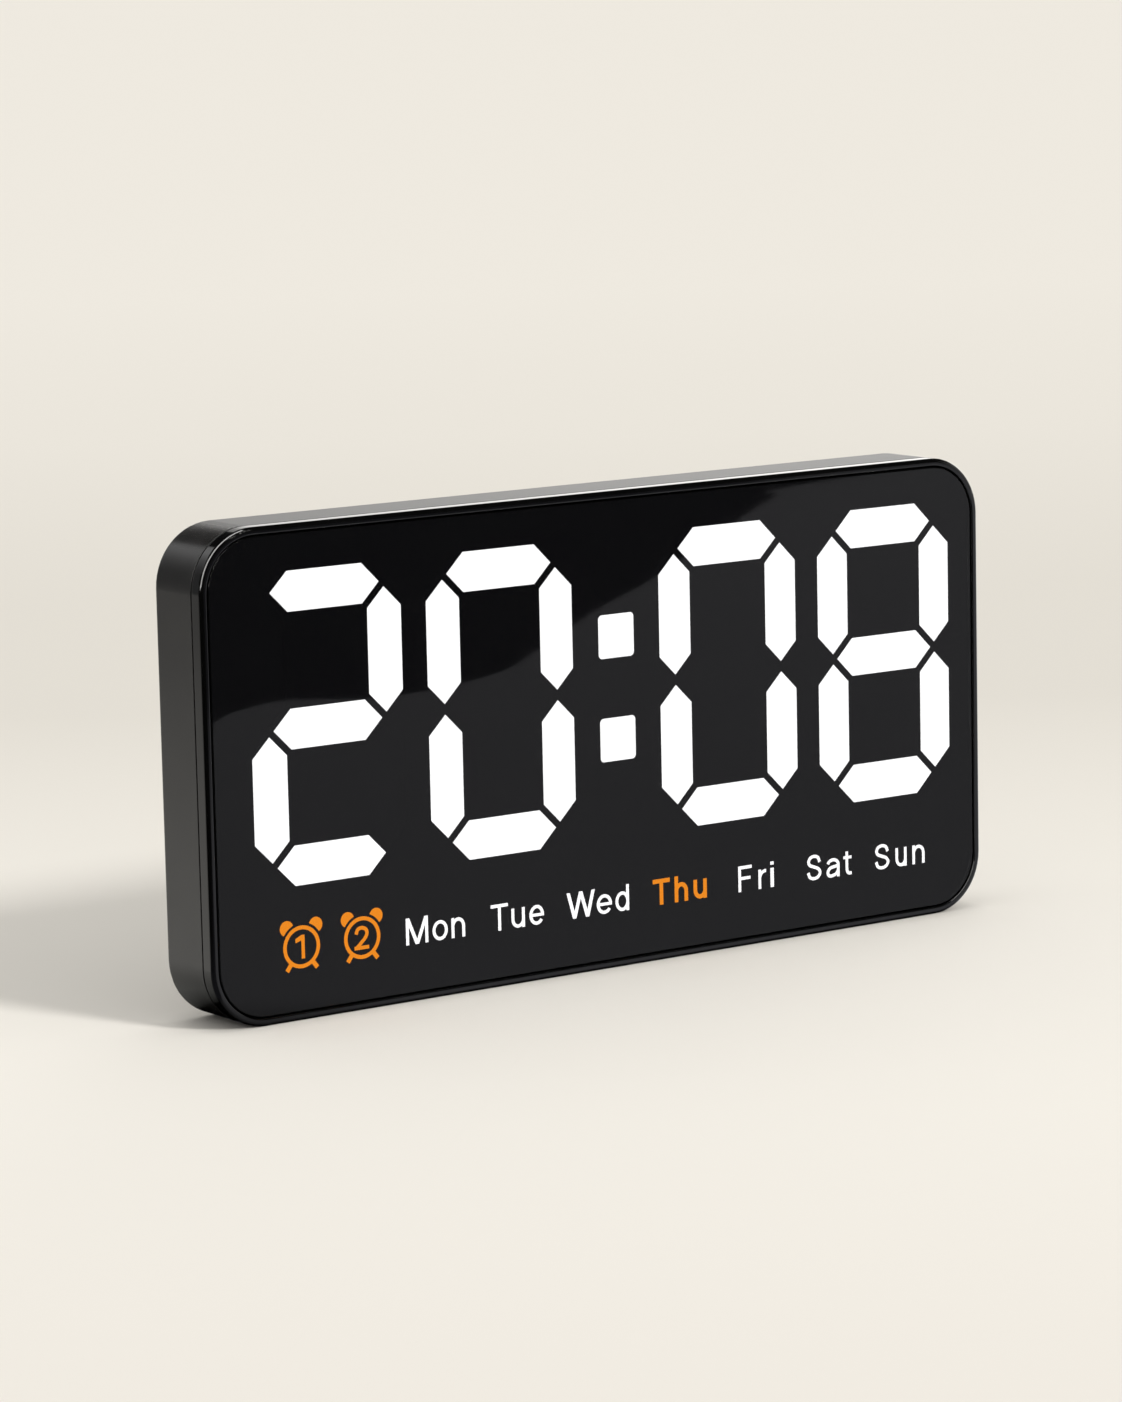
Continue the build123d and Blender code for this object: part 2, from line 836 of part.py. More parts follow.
nodes = {
    "front_bezel": make_front_bezel(),
    "display_lens": make_display_lens(),
    "lens_tape": make_lens_tape(),
    "legend_mask": make_legend_mask(),
    "light_box": make_light_box(),
    "colon_dots": diffusers(colon_dots(diffuser_ledge)),
    "weekday_diffusers": diffusers(weekday_windows(diffuser_ledge)),
    "alarm_diffusers": diffusers(alarm_windows(diffuser_ledge)),
    "display_board": make_display_board(),
    "led_chips": make_led_chips(),
    "display_screws": make_display_screws(),
    "driver_chip": make_driver_chip(),
    "chip_resistors": make_chip_resistors(),
    "board_header": make_board_header(),
    "board_socket": make_board_socket(),
    "header_pins": make_header_pins(),
    "control_board": make_control_board(),
    "control_screws": make_control_screws(),
    "controller_chip": make_controller_chip(),
    "clock_crystal": make_clock_crystal(),
    "smoothing_capacitor": make_smoothing_capacitor(),
    "buzzer": make_buzzer(),
    "button_switches": make_button_switches(),
    "cell_holder": make_cell_holder(),
    "cell_contacts": make_cell_contacts(),
    "backup_cell": make_backup_cell(),
    "battery_cover": make_battery_cover(),
    "dc_jack": make_dc_jack(),
    "jack_pin": make_jack_pin(),
    "rear_case": make_rear_case(),
    "case_screws": make_case_screws(),
    "stand_leg": make_stand_leg(),
    "stand_pin": make_stand_pin(),
    "stand_pad": make_stand_pad(),
}
unlit = []
for digit, (name, lit) in enumerate(lit_segments.items()):
    nodes[f"{name}_segments"] = diffusers([segment(digit, letter, diffuser_ledge) for letter in lit])
    unlit += [segment(digit, letter, diffuser_ledge) for letter in segment_letters if letter not in lit]
nodes["unlit_segments"] = diffusers(unlit)
for name, (x, z) in zip(button_names, button_places):
    nodes[f"{name}_button"] = make_button(x, z)
    nodes[f"{name}_plunger"] = make_plunger(x, z)

os.makedirs("parts", exist_ok=True)
for name, shape in nodes.items():
    export_step(shape, f"parts/{name}.step")
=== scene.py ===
import json
from math import cos, pi, radians, sin

import bmesh
import bpy
from mathutils import Matrix, Vector
from mathutils.geometry import delaunay_2d_cdt


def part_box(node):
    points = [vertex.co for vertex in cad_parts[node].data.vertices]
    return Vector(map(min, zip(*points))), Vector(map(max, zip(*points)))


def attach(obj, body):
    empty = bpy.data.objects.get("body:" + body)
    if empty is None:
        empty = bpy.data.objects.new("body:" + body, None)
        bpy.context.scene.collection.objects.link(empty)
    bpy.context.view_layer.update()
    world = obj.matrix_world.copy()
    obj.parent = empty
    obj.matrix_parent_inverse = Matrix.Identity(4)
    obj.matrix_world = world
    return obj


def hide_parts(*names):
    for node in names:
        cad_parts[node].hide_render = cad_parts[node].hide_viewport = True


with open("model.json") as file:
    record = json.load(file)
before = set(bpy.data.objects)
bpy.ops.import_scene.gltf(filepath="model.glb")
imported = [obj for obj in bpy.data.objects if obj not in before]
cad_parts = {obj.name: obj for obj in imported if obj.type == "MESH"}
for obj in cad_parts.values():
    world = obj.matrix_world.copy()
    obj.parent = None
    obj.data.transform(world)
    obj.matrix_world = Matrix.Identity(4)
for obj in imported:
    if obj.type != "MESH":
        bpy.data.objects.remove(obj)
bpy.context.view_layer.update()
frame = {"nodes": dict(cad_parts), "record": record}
nodes = frame["nodes"]
scene = bpy.context.scene
MM = 0.001
UP = (0.0, 0.0, 1.0)

# Camera, fitted to the photograph's 1122 by 1402 frame
CAMERA_PLACE = (-0.759026, -1.060086, 0.270794)
CAMERA_RIGHT = (0.8142, -0.58019, -0.02141)
CAMERA_UP = (0.10552, 0.11161, 0.98813)
CAMERA_FORWARD = (0.57092, 0.8068, -0.15209)
CAMERA_LENS = 128.34
CAMERA_SENSOR = 36.0
CAMERA_CLIP = (0.01, 100.0)


def make_camera():
    data = bpy.data.cameras.new("camera")
    data.lens = CAMERA_LENS
    data.sensor_fit = "AUTO"
    data.sensor_width = CAMERA_SENSOR
    data.clip_start, data.clip_end = CAMERA_CLIP
    camera = bpy.data.objects.new("camera", data)
    scene.collection.objects.link(camera)
    axes = [Vector(CAMERA_RIGHT), Vector(CAMERA_UP), -Vector(CAMERA_FORWARD)]
    turn = Matrix([axis.normalized() for axis in axes]).transposed().to_4x4()
    camera.matrix_world = Matrix.Translation(CAMERA_PLACE) @ turn
    scene.camera = camera


# Materials
NOISE_LOW, NOISE_HIGH = 0.3, 0.7
DUST_START, DUST_END = 0.975, 0.998
# Painted shade in grooves and seams: gloss falls and roughness rises where the ambient occlusion is deep
GROOVE_REACH = 0.0014
GROOVE_SAMPLES = 8
GROOVE_DEEP, GROOVE_OPEN = 0.4, 0.8
DEEP_GLOSS, OPEN_GLOSS = 0.02, 0.5
DEEP_ROUGHNESS = 0.95


class Paint:
    """A Principled material with the nodes that vary its colour, roughness and surface."""

    def __init__(self, name):
        self.material = bpy.data.materials.new(name)
        self.material.use_nodes = True
        self.tree = self.material.node_tree
        self.shader = self.tree.nodes["Principled BSDF"]
        coordinates = self.tree.nodes.new("ShaderNodeTexCoord").outputs
        self.place = coordinates["Object"]
        self.facing = coordinates["Normal"]

    def set(self, **values):
        for name, value in values.items():
            self.shader.inputs[name.replace("_", " ")].default_value = value
        return self

    def link(self, source, target):
        self.tree.links.new(source, target)

    def stretched(self, stretch):
        mapping = self.tree.nodes.new("ShaderNodeMapping")
        mapping.inputs["Scale"].default_value = stretch
        self.link(self.place, mapping.inputs["Vector"])
        return mapping.outputs["Vector"]

    def noise(self, scale, detail=3.0, stretch=None):
        node = self.tree.nodes.new("ShaderNodeTexNoise")
        node.inputs["Scale"].default_value = scale
        node.inputs["Detail"].default_value = detail
        self.link(self.stretched(stretch) if stretch else self.place, node.inputs["Vector"])
        return node.outputs["Fac"]

    def ramp(self, source, stops):
        node = self.tree.nodes.new("ShaderNodeValToRGB")
        elements = node.color_ramp.elements
        for element, (position, colour) in zip((elements[0], elements[1]), (stops[0], stops[-1])):
            element.position = position
            element.color = (*colour, 1.0)
        for position, colour in stops[1:-1]:
            elements.new(position).color = (*colour, 1.0)
        self.link(source, node.inputs["Fac"])
        return node.outputs["Color"]

    def span(self, source, low, high, start=NOISE_LOW, end=NOISE_HIGH):
        node = self.tree.nodes.new("ShaderNodeMapRange")
        node.inputs["From Min"].default_value = start
        node.inputs["From Max"].default_value = end
        node.inputs["To Min"].default_value = low
        node.inputs["To Max"].default_value = high
        self.link(source, node.inputs["Value"])
        return node.outputs["Result"]

    def along(self, direction, start, end, source=None):
        """The share of the way from start to end along a direction, of the place or another vector."""
        node = self.tree.nodes.new("ShaderNodeVectorMath")
        node.operation = "DOT_PRODUCT"
        node.inputs[1].default_value = direction
        self.link(source or self.place, node.inputs[0])
        return self.span(node.outputs["Value"], 0.0, 1.0, start, end)

    def colour(self, source, dark, light):
        tone = self.ramp(source, [(NOISE_LOW, dark), (NOISE_HIGH, light)])
        self.link(tone, self.shader.inputs["Base Color"])
        return self

    def glow(self, source, stops):
        self.link(self.ramp(source, stops), self.shader.inputs["Emission Color"])
        return self

    def roughness(self, source, low, high):
        self.link(self.span(source, low, high), self.shader.inputs["Roughness"])
        return self

    def duller(self, share, dull):
        """Moves the roughness towards a duller one by a share."""
        mix = self.tree.nodes.new("ShaderNodeMix")
        rough = self.shader.inputs["Roughness"]
        self.link(share, mix.inputs["Factor"])
        self.link(rough.links[0].from_socket, mix.inputs["A"])
        mix.inputs["B"].default_value = dull
        self.link(mix.outputs["Result"], rough)
        return self

    def dusty_above(self, dull):
        """Dust on the faces that look up."""
        return self.duller(self.along(UP, DUST_START, DUST_END, self.facing), dull)

    def openness(self, reach, samples):
        """How open a place is, from 0 deep in a groove to 1 on a free face."""
        node = self.tree.nodes.new("ShaderNodeAmbientOcclusion")
        node.samples = samples
        node.inputs["Distance"].default_value = reach
        return node.outputs["AO"]

    def groove_shade(self):
        """Painted shade: grooves and seams lose their gloss and turn rough where the ambient occlusion finds
        them deep.
        """
        openness = self.openness(GROOVE_REACH, GROOVE_SAMPLES)
        gloss = self.span(openness, DEEP_GLOSS, OPEN_GLOSS, GROOVE_DEEP, GROOVE_OPEN)
        self.link(gloss, self.shader.inputs["Specular IOR Level"])
        return self.duller(self.span(openness, 1.0, 0.0, GROOVE_DEEP, GROOVE_OPEN), DEEP_ROUGHNESS)

    def bump(self, source, height, edge=None):
        node = self.tree.nodes.new("ShaderNodeBump")
        node.inputs["Distance"].default_value = height
        self.link(source, node.inputs["Height"])
        if edge:
            bevel = self.tree.nodes.new("ShaderNodeBevel")
            bevel.inputs["Radius"].default_value = edge
            self.link(bevel.outputs["Normal"], node.inputs["Normal"])
        self.link(node.outputs["Normal"], self.shader.inputs["Normal"])
        return self


def grey(value, warm=0.0):
    return (value * (1 + warm), value, value * (1 - warm))


MOTTLE_SCALE = 90.0
GLOSS_SCALE = 140.0
STREAK_SCALE = 600.0
STREAK_HEIGHT = 0.00001
CASE_DUST = 0.36
LENS_ALPHA = 0.8
LENS_GLOSS = 0.36
# Plastics and rubber: dark and light tone, roughness from and to, grain scale and height, rounding of edges
MOULDED = {
    "case_black": (grey(0.006, 0.04), grey(0.009, 0.04), (0.19, 0.23), 5200.0, 0.000004, 0.0003),
    "frame_black": (grey(0.001), grey(0.002), (0.05, 0.08), 900.0, 0.0000004, 0.0002),
    "smoked_lens": (grey(0.0015), grey(0.002), (0.015, 0.03), 40.0, 0.0000002),
    "tape_black": (grey(0.012), grey(0.03), (0.8, 0.95), 2600.0, 0.00008),
    "mask_black": (grey(0.0015), grey(0.0025), (0.75, 0.9), 3000.0, 0.000005),
    "reflector_white": ((0.74, 0.74, 0.72), (0.84, 0.84, 0.82), (0.55, 0.7), 1800.0, 0.00001),
    "unlit_grey": (grey(0.03), grey(0.05), (0.5, 0.65), 2500.0, 0.00001),
    "board_green": ((0.008, 0.06, 0.025), (0.02, 0.12, 0.05), (0.25, 0.4), 700.0, 0.00002),
    "led_pale": ((0.8, 0.7, 0.3), (0.9, 0.85, 0.55), (0.3, 0.45), 1500.0, 0.00002),
    "chip_black": (grey(0.012), grey(0.024), (0.5, 0.7), 3200.0, 0.00002, 0.0002),
    "button_grey": (grey(0.04, 0.02), grey(0.055, 0.02), (0.4, 0.52), 3600.0, 0.00001, 0.0003),
    "rubber": (grey(0.008), grey(0.016), (0.75, 0.9), 2400.0, 0.00003, 0.0002),
}
# Metals: dark and light tone, roughness from and to, scale of the streaks on each axis
METALS = {
    "steel": (grey(0.5), grey(0.66), (0.25, 0.38), (1.0, 8.0, 1.0)),
    "brass": ((0.66, 0.46, 0.18), (0.8, 0.6, 0.28), (0.18, 0.3), (1.0, 1.0, 8.0)),
    "aluminium": (grey(0.68), grey(0.8), (0.22, 0.35), (8.0, 1.0, 1.0)),
}
# Pieces lit from behind: dark and light tone, and the colour of the light
LIT = {
    "lit_white": (grey(0.8), grey(0.9), (1.0, 1.0, 1.0)),
    "lit_orange": ((0.8, 0.32, 0.03), (0.9, 0.4, 0.05), (0.73, 0.215, 0.0)),
}
LIT_ROUGHNESS = (0.5, 0.6)
LIT_GRAIN = 2500.0
LIT_GRAIN_HEIGHT = 0.00001
LIT_STRENGTH = 28.0


def moulded(name, dark, light, rough, grain, height, edge=None):
    """Moulded plastic or rubber: a mottled colour, uneven gloss and a fine texture."""
    paint = Paint(name)
    paint.colour(paint.noise(MOTTLE_SCALE), dark, light)
    paint.roughness(paint.noise(GLOSS_SCALE, detail=4.0), *rough)
    return paint.bump(paint.noise(grain, detail=2.0), height, edge)


def metal(name, dark, light, rough, stretch):
    """Metal with fine streaks."""
    paint = Paint(name).set(Metallic=1.0)
    streaks = paint.noise(STREAK_SCALE, detail=4.0, stretch=stretch)
    return paint.colour(streaks, dark, light).roughness(streaks, *rough).bump(streaks, STREAK_HEIGHT)


def lit(name, dark, light, glow):
    """A translucent piece lit from behind."""
    paint = moulded(name, dark, light, LIT_ROUGHNESS, LIT_GRAIN, LIT_GRAIN_HEIGHT)
    return paint.set(Emission_Color=(*glow, 1.0), Emission_Strength=LIT_STRENGTH)


def make_materials():
    paints = {name: moulded(name, *values) for name, values in MOULDED.items()}
    paints |= {name: metal(name, *values) for name, values in METALS.items()}
    paints |= {name: lit(name, *values) for name, values in LIT.items()}
    # Painted shade in the grooves and seams of the case and the frame
    paints["case_black"].dusty_above(CASE_DUST).groove_shade()
    paints["frame_black"].groove_shade()
    paints["smoked_lens"].set(Alpha=LENS_ALPHA, Specular_IOR_Level=LENS_GLOSS)
    return {name: paint.material for name, paint in paints.items()}


# Lettering and pictograms of the display, in millimetres from the middle of the case and from its lower side
BASELINE = 14.55
CAP_HEIGHT = 7.0
X_HEIGHT = 5.25
T_HEIGHT = 6.5
GLYPH_FRONT = -9.33
GLYPH_BACK = -9.26
PEN = 0.86
BOLD_PEN = 1.15
DIGIT_PEN = 0.95
# Slanting strokes as a share of the pen, and the rise of an arch as a share of its reach
SLANT_WIDTH = 1.2
SHOULDER_RISE = 1.15
HEIGHTS = {letter: X_HEIGHT for letter in "onuera"} | {"t": T_HEIGHT}
# Left and right end of each letter
WEEKDAYS = {
    "Mon": [(-65.7, -58.9), (-57.5, -52.8), (-51.6, -47.4)],
    "Tue": [(-39.2, -33.8), (-32.7, -28.5), (-27.0, -22.4)],
    "Wed": [(-15.0, -5.9), (-5.3, -0.4), (0.8, 5.2)],
    "Thu": [(13.1, 18.7), (20.3, 24.7), (26.6, 31.0)],
    "Fri": [(41.7, 46.2), (48.5, 51.0), (52.6, 53.7)],
    "Sat": [(65.0, 70.2), (71.9, 76.4), (77.8, 80.6)],
    "Sun": [(88.7, 94.0), (96.1, 100.0), (102.1, 106.4)],
}
LIT_DAY = "Thu"
# Middle of each alarm mark, and left and right end of its digit
ALARMS = {"1": (-97.4, 18.55, (-99.2, -96.5)), "2": (-79.1, 18.45, (-81.5, -77.1))}
ALARM_RADIUS = 5.5
ALARM_PEN = 1.0
BELL_RADIUS = 2.0
BELL_REACH = 6.75
BELL_CLEAR = 6.25
BELL_ANGLE = 40.0
FOOT_ANGLE = 38.0
FOOT_START = 5.0
FOOT_END = 7.4
FOOT_WIDTH = 1.2
DIGIT_HEIGHT = 6.1
CIRCLE_STEPS = 72
FEWEST_STEPS = 6
SMOOTH_STEPS = 8
TOUCHING = 1e-6
INSIDE_OUTLINES = 1
MERGE_WITHIN = 1e-5
FLAT_TURN = 0.5


def bar(left, right, low, high):
    return [(left, low), (right, low), (right, high), (left, high)]


def slant(top, foot, width, height):
    """A slanting stroke between the two ends of a letter, cut level at both."""
    half = width / 2
    return [(foot - half, 0), (foot + half, 0), (top + half, height), (top - half, height)]


def arc(x, z, reach_x, reach_z, start, end):
    """Points of an ellipse's arc; the angles are in degrees, counterclockwise from the right."""
    steps = max(FEWEST_STEPS, int(abs(end - start) / 360 * CIRCLE_STEPS))
    turns = [radians(start + (end - start) * i / steps) for i in range(steps + 1)]
    return [(x + reach_x * cos(a), z + reach_z * sin(a)) for a in turns]


def smooth(points):
    """A curve through all the points."""
    points = [Vector(p) for p in points]
    ends = [2 * points[0] - points[1], *points, 2 * points[-1] - points[-2]]
    path = []
    for a, b, c, d in zip(ends, ends[1:], ends[2:], ends[3:]):
        square = 2 * a - 5 * b + 4 * c - d
        cube = 3 * b - a - 3 * c + d
        for i in range(SMOOTH_STEPS):
            t = i / SMOOTH_STEPS
            path.append((2 * b + (c - a) * t + square * t**2 + cube * t**3) / 2)
    return path + [points[-1]]


def stroke(path, pen):
    """The quads of a pen's stroke along a path, mitred at each point."""
    path = [Vector(p) for p in path]
    path = path[:1] + [b for a, b in zip(path, path[1:]) if (b - a).length > TOUCHING]
    closed = (path[0] - path[-1]).length < TOUCHING
    runs = [(b - a).normalized() for a, b in zip(path, path[1:])]
    edges = []
    for i, point in enumerate(path):
        before = runs[i - 1] if i or closed else runs[0]
        after = runs[i] if i < len(runs) else (runs[0] if closed else runs[-1])
        along = (before + after).normalized()
        reach = pen / 2 / along.dot(after)
        across = Vector((-along.y, along.x)) * reach
        edges.append((point - across, point + across))
    return [[a[0], b[0], b[1], a[1]] for a, b in zip(edges, edges[1:])]


def arch(width, height, pen):
    """The shoulder and right leg of an n."""
    half = pen / 2
    reach = width / 2 - half
    rise = min(SHOULDER_RISE * reach, height - pen)
    return stroke(arc(width / 2, height - half - rise, reach, rise, 180, 0) + [(width - half, 0)], pen)


def drawn(character, width, height, pen):
    """The outlines that make up a character; its fractions are shares of its width, height and pen."""
    half = pen / 2
    w, h, x = width, height, X_HEIGHT
    wide = SLANT_WIDTH * pen
    bowl = arc(w / 2, x / 2, w / 2 - half, x / 2 - half, 0, 360)

    def curve(places):
        return stroke(smooth([(half + a * (w - pen), half + b * (h - pen)) for a, b in places]), pen)

    if character == "T":
        return [bar(0, w, h - pen, h), bar(w / 2 - half, w / 2 + half, 0, h)]
    if character == "F":
        return [bar(0, pen, 0, h), bar(0, w, h - pen, h), bar(0, 0.9 * w, 0.46 * h, 0.46 * h + 0.95 * pen)]
    if character == "M":
        legs = [bar(0, pen, 0, h), bar(w - pen, w, 0, h)]
        return legs + [slant(wide / 2, w / 2, wide, h), slant(w - wide / 2, w / 2, wide, h)]
    if character == "W":
        feet = (0.27 * w, 0.73 * w)
        outer = [slant(wide / 2, feet[0], wide, h), slant(w - wide / 2, feet[1], wide, h)]
        return outer + [slant(w / 2, foot, wide, h) for foot in feet]
    if character == "S":
        return curve([
            (0.94, 0.72), (0.8, 0.93), (0.5, 1.0), (0.2, 0.94), (0.06, 0.77), (0.19, 0.61), (0.5, 0.52),
            (0.82, 0.42), (0.97, 0.25), (0.82, 0.07), (0.5, 0.0), (0.17, 0.07), (0.02, 0.29),
        ])
    if character == "o":
        return stroke(bowl, pen)
    if character == "d":
        return stroke(bowl, pen) + [bar(w - pen, w, 0, h)]
    if character == "e":
        turn = arc(w / 2, h / 2, w / 2 - half, h / 2 - half, -36, -370)
        return stroke(turn, pen) + [bar(half, w - half, h / 2 - 0.45 * pen, h / 2 + 0.45 * pen)]
    if character in "nh":
        return [bar(0, pen, 0, h)] + arch(w, x, pen)
    if character == "u":
        turned = [[(w - p[0], h - p[1]) for p in quad] for quad in arch(w, h, pen)]
        return [bar(w - pen, w, 0, h)] + turned
    if character == "r":
        reach = w - half
        return [bar(0, pen, 0, h)] + stroke(arc(w, h - half - reach, reach, reach, 180, 88), pen)
    if character == "a":
        reach, rise = w / 2 - half, 0.27 * h
        hook = arc(w / 2, h - half - rise, reach, rise, 165, 0) + [(w - half, 0)]
        belly = [
            (w - half, 0.585 * h), (0.55 * w, 0.545 * h), (0.24 * w, 0.475 * h), (half, 0.275 * h),
            (0.2 * w, half + 0.02 * h), (0.42 * w, half), (0.72 * w, 0.16 * h), (w - half, 0.34 * h),
        ]
        return stroke(hook, pen) + stroke(smooth(belly), pen)
    if character == "i":
        return [bar(0, w, 0, x), bar(0, w, h - pen, h)]
    if character == "t":
        stem, reach, rise = 0.42 * w, 0.34 * w, 0.2 * h
        turn = arc(stem + reach, half + rise, reach, rise, 180, 270)
        return stroke([(stem, h), (stem, half + rise), *turn, (w, half)], pen) + [bar(0, w, x - 0.9 * pen, x)]
    if character == "1":
        flag = [(0, 0.69 * h), (w - half, 0.8 * h), (w - half, h), (w - pen, h), (0, 0.86 * h)]
        return [bar(w - pen, w, 0, h), flag]
    if character == "2":
        neck = curve([
            (0.02, 0.7), (0.17, 0.93), (0.5, 1.0), (0.85, 0.92), (0.98, 0.73), (0.85, 0.5), (0.45, 0.24),
            (0.04, 0.0),
        ])
        return neck + [bar(0, w, 0, pen)]
    raise ValueError(character)


def placed(outlines, left, low):
    return [[(left + p[0], low + p[1]) for p in outline] for outline in outlines]


def around(x, z, radius, angle):
    return x + radius * sin(angle), z + radius * cos(angle)


def bell_outline(x, z, side):
    """A disc beside the ring with a bite taken out of it round the ring's middle."""
    middle = around(x, z, BELL_REACH, side * radians(BELL_ANGLE))
    outline = []
    for px, pz in arc(*middle, BELL_RADIUS, BELL_RADIUS, 0, 360)[:-1]:
        away = Vector((px - x, pz - z))
        if away.length < BELL_CLEAR:
            away = away.normalized() * BELL_CLEAR
        outline.append((x + away.x, z + away.y))
    return outline


def alarm_outlines(x, z):
    ring = ALARM_RADIUS - ALARM_PEN / 2
    outlines = stroke(arc(x, z, ring, ring, 0, 360), ALARM_PEN)
    for side in (-1, 1):
        outlines.append(bell_outline(x, z, side))
        ends = [around(x, z, r, pi - side * radians(FOOT_ANGLE)) for r in (FOOT_START, FOOT_END)]
        outlines += stroke(ends, FOOT_WIDTH)
    return outlines


def counterclockwise(outline):
    area = sum(a[0] * b[1] - b[0] * a[1] for a, b in zip(outline, outline[1:] + outline[:1]))
    return outline if area > 0 else outline[::-1]


def plate(name, outlines, front, back, material, slot, body):
    """One thin plate that covers all the outlines; front and back give its depth at a place."""
    points, faces = [], []
    for outline in outlines:
        faces.append(list(range(len(points), len(points) + len(outline))))
        points += [Vector((p[0], p[1])) for p in counterclockwise(list(outline))]
    flat, _, cells, _, _, sources = delaunay_2d_cdt(points, [], faces, INSIDE_OUTLINES, MERGE_WITHIN)
    cells = [cell for cell, source in zip(cells, sources) if source]
    bm = bmesh.new()
    places = [bm.verts.new((p.x * MM, 0.0, p.y * MM)) for p in flat]
    for cell in cells:
        bm.faces.new([places[i] for i in cell])
    bmesh.ops.dissolve_limit(bm, angle_limit=radians(FLAT_TURN), verts=bm.verts, edges=bm.edges)
    first_side = bm.verts[:]
    bmesh.ops.extrude_face_region(bm, geom=bm.faces[:], use_keep_orig=True)
    second_side = set(bm.verts) - set(first_side)
    for side, depth in ((first_side, front), (second_side, back)):
        for v in side:
            v.co.y = depth(v.co.x / MM, v.co.z / MM) * MM
    bmesh.ops.delete(bm, geom=[v for v in bm.verts if not v.link_faces], context="VERTS")
    bmesh.ops.recalc_face_normals(bm, faces=bm.faces)
    mesh = bpy.data.meshes.new(name)
    bm.to_mesh(mesh)
    bm.free()
    mesh.materials.append(material)
    piece = bpy.data.objects.new(name, mesh)
    scene.collection.objects.link(piece)
    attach(piece, body)


def display_plate(name, outlines, slot, materials):
    """A plate in the layer behind the lens."""
    depths = (lambda x, z: GLYPH_FRONT), (lambda x, z: GLYPH_BACK)
    plate(name, outlines, *depths, materials[slot], slot, "case")


def make_lettering(materials):
    for word, places in WEEKDAYS.items():
        bright = word == LIT_DAY
        outlines = []
        for character, (left, right) in zip(word, places):
            height = HEIGHTS.get(character, CAP_HEIGHT)
            shape = drawn(character, right - left, height, BOLD_PEN if bright else PEN)
            outlines += placed(shape, left, BASELINE)
        display_plate(f"weekday_{word.lower()}", outlines, "lit_orange" if bright else "lit_white", materials)
    for digit, (x, z, (left, right)) in ALARMS.items():
        shape = drawn(digit, right - left, DIGIT_HEIGHT, DIGIT_PEN)
        outlines = alarm_outlines(x, z) + placed(shape, left, z - DIGIT_HEIGHT / 2)
        display_plate(f"alarm_mark_{digit}", outlines, "lit_orange", materials)


# Signs printed in the dished buttons and on the battery cover, in millimetres from the middle of each
BUTTON_RADIUS = 3.4
BUTTON_DISH = 0.4
PRINT_SINK = 0.02
PRINT_RISE = 0.03
SIGN_PEN = 0.4
SIGN_REACH = 1.6
BAR_STEP = 1.05
SUN_RADIUS = 0.75
SUN_RAYS = 8
RAY_START = 1.35
RAY_END = 2.05
ARROW_RADIUS = 10.2
ARROW_ANGLES = (35.0, 75.0)
ARROW_PEN = 0.45
ARROW_HEAD = 1.1
# Alarm sign: its share of the alarm mark's size, and its hands' shares of the mark's radius
ALARM_SHRINK = 0.28
MINUTE_HAND, HOUR_HAND = 0.55, 0.4


def menu_sign():
    half = SIGN_PEN / 2
    return [bar(-SIGN_REACH, SIGN_REACH, z - half, z + half) for z in (-BAR_STEP, 0.0, BAR_STEP)]


def alarm_sign():
    minute, hour = (0.0, MINUTE_HAND * ALARM_RADIUS), (HOUR_HAND * ALARM_RADIUS, 0.0)
    outlines = alarm_outlines(0, 0) + stroke([minute, (0.0, 0.0), hour], ALARM_PEN)
    return [[(ALARM_SHRINK * p[0], ALARM_SHRINK * p[1]) for p in outline] for outline in outlines]


def arrow_sign(side):
    foot = -side * SIGN_REACH / 2
    return [[(-SIGN_REACH, foot), (SIGN_REACH, foot), (0.0, side * SIGN_REACH)]]


def sun_sign():
    outlines = stroke(arc(0, 0, SUN_RADIUS, SUN_RADIUS, 0, 360), SIGN_PEN)
    for i in range(SUN_RAYS):
        outlines += stroke([around(0, 0, r, 2 * pi * i / SUN_RAYS) for r in (RAY_START, RAY_END)], SIGN_PEN)
    return outlines


def turn_sign():
    """An arrow along the rim, counterclockwise seen from behind."""
    path = arc(0, 0, ARROW_RADIUS, ARROW_RADIUS, *ARROW_ANGLES)
    tip = Vector(path[-1])
    along = (tip - Vector(path[-2])).normalized()
    across = Vector((-along.y, along.x)) * ARROW_HEAD
    return stroke(path, ARROW_PEN) + [[tip + across, tip - across, tip + 2 * ARROW_HEAD * along]]


def print_on_back(node, body, sign, materials, dished=False):
    """Prints a sign on the back of a node, round its middle; seen from behind, x runs the other way."""
    low, high = (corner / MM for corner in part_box(node))
    x, z = (low.x + high.x) / 2, (low.z + high.z) / 2
    radius = (BUTTON_RADIUS**2 + BUTTON_DISH**2) / (2 * BUTTON_DISH)

    def surface(px, pz):
        sag = radius - (radius**2 - (px - x) ** 2 - (pz - z) ** 2) ** 0.5
        return high.y - BUTTON_DISH + sag if dished else high.y

    depths = (lambda px, pz: surface(px, pz) - PRINT_SINK), (lambda px, pz: surface(px, pz) + PRINT_RISE)
    outlines = [[(x - p[0], z + p[1]) for p in outline] for outline in sign]
    plate(f"{node}_sign", outlines, *depths, materials["reflector_white"], "reflector_white", body)


def make_signs(materials):
    signs = {
        "set": menu_sign(),
        "alarm": alarm_sign(),
        "up": arrow_sign(1),
        "down": arrow_sign(-1),
        "light": sun_sign(),
    }
    for name, sign in signs.items():
        print_on_back(f"{name}_button", f"{name}_key", sign, materials, dished=True)
    print_on_back("battery_cover", "battery_cover", turn_sign(), materials)


# Lens pane, a hair short of the film behind it
PANE_CORNER = 13.6 * MM
PANE_ROUND = 0.25 * MM
PANE_THICKNESS = 1.4 * MM
PANE_CORNER_STEPS = 24
PANE_ROUND_STEPS = 4


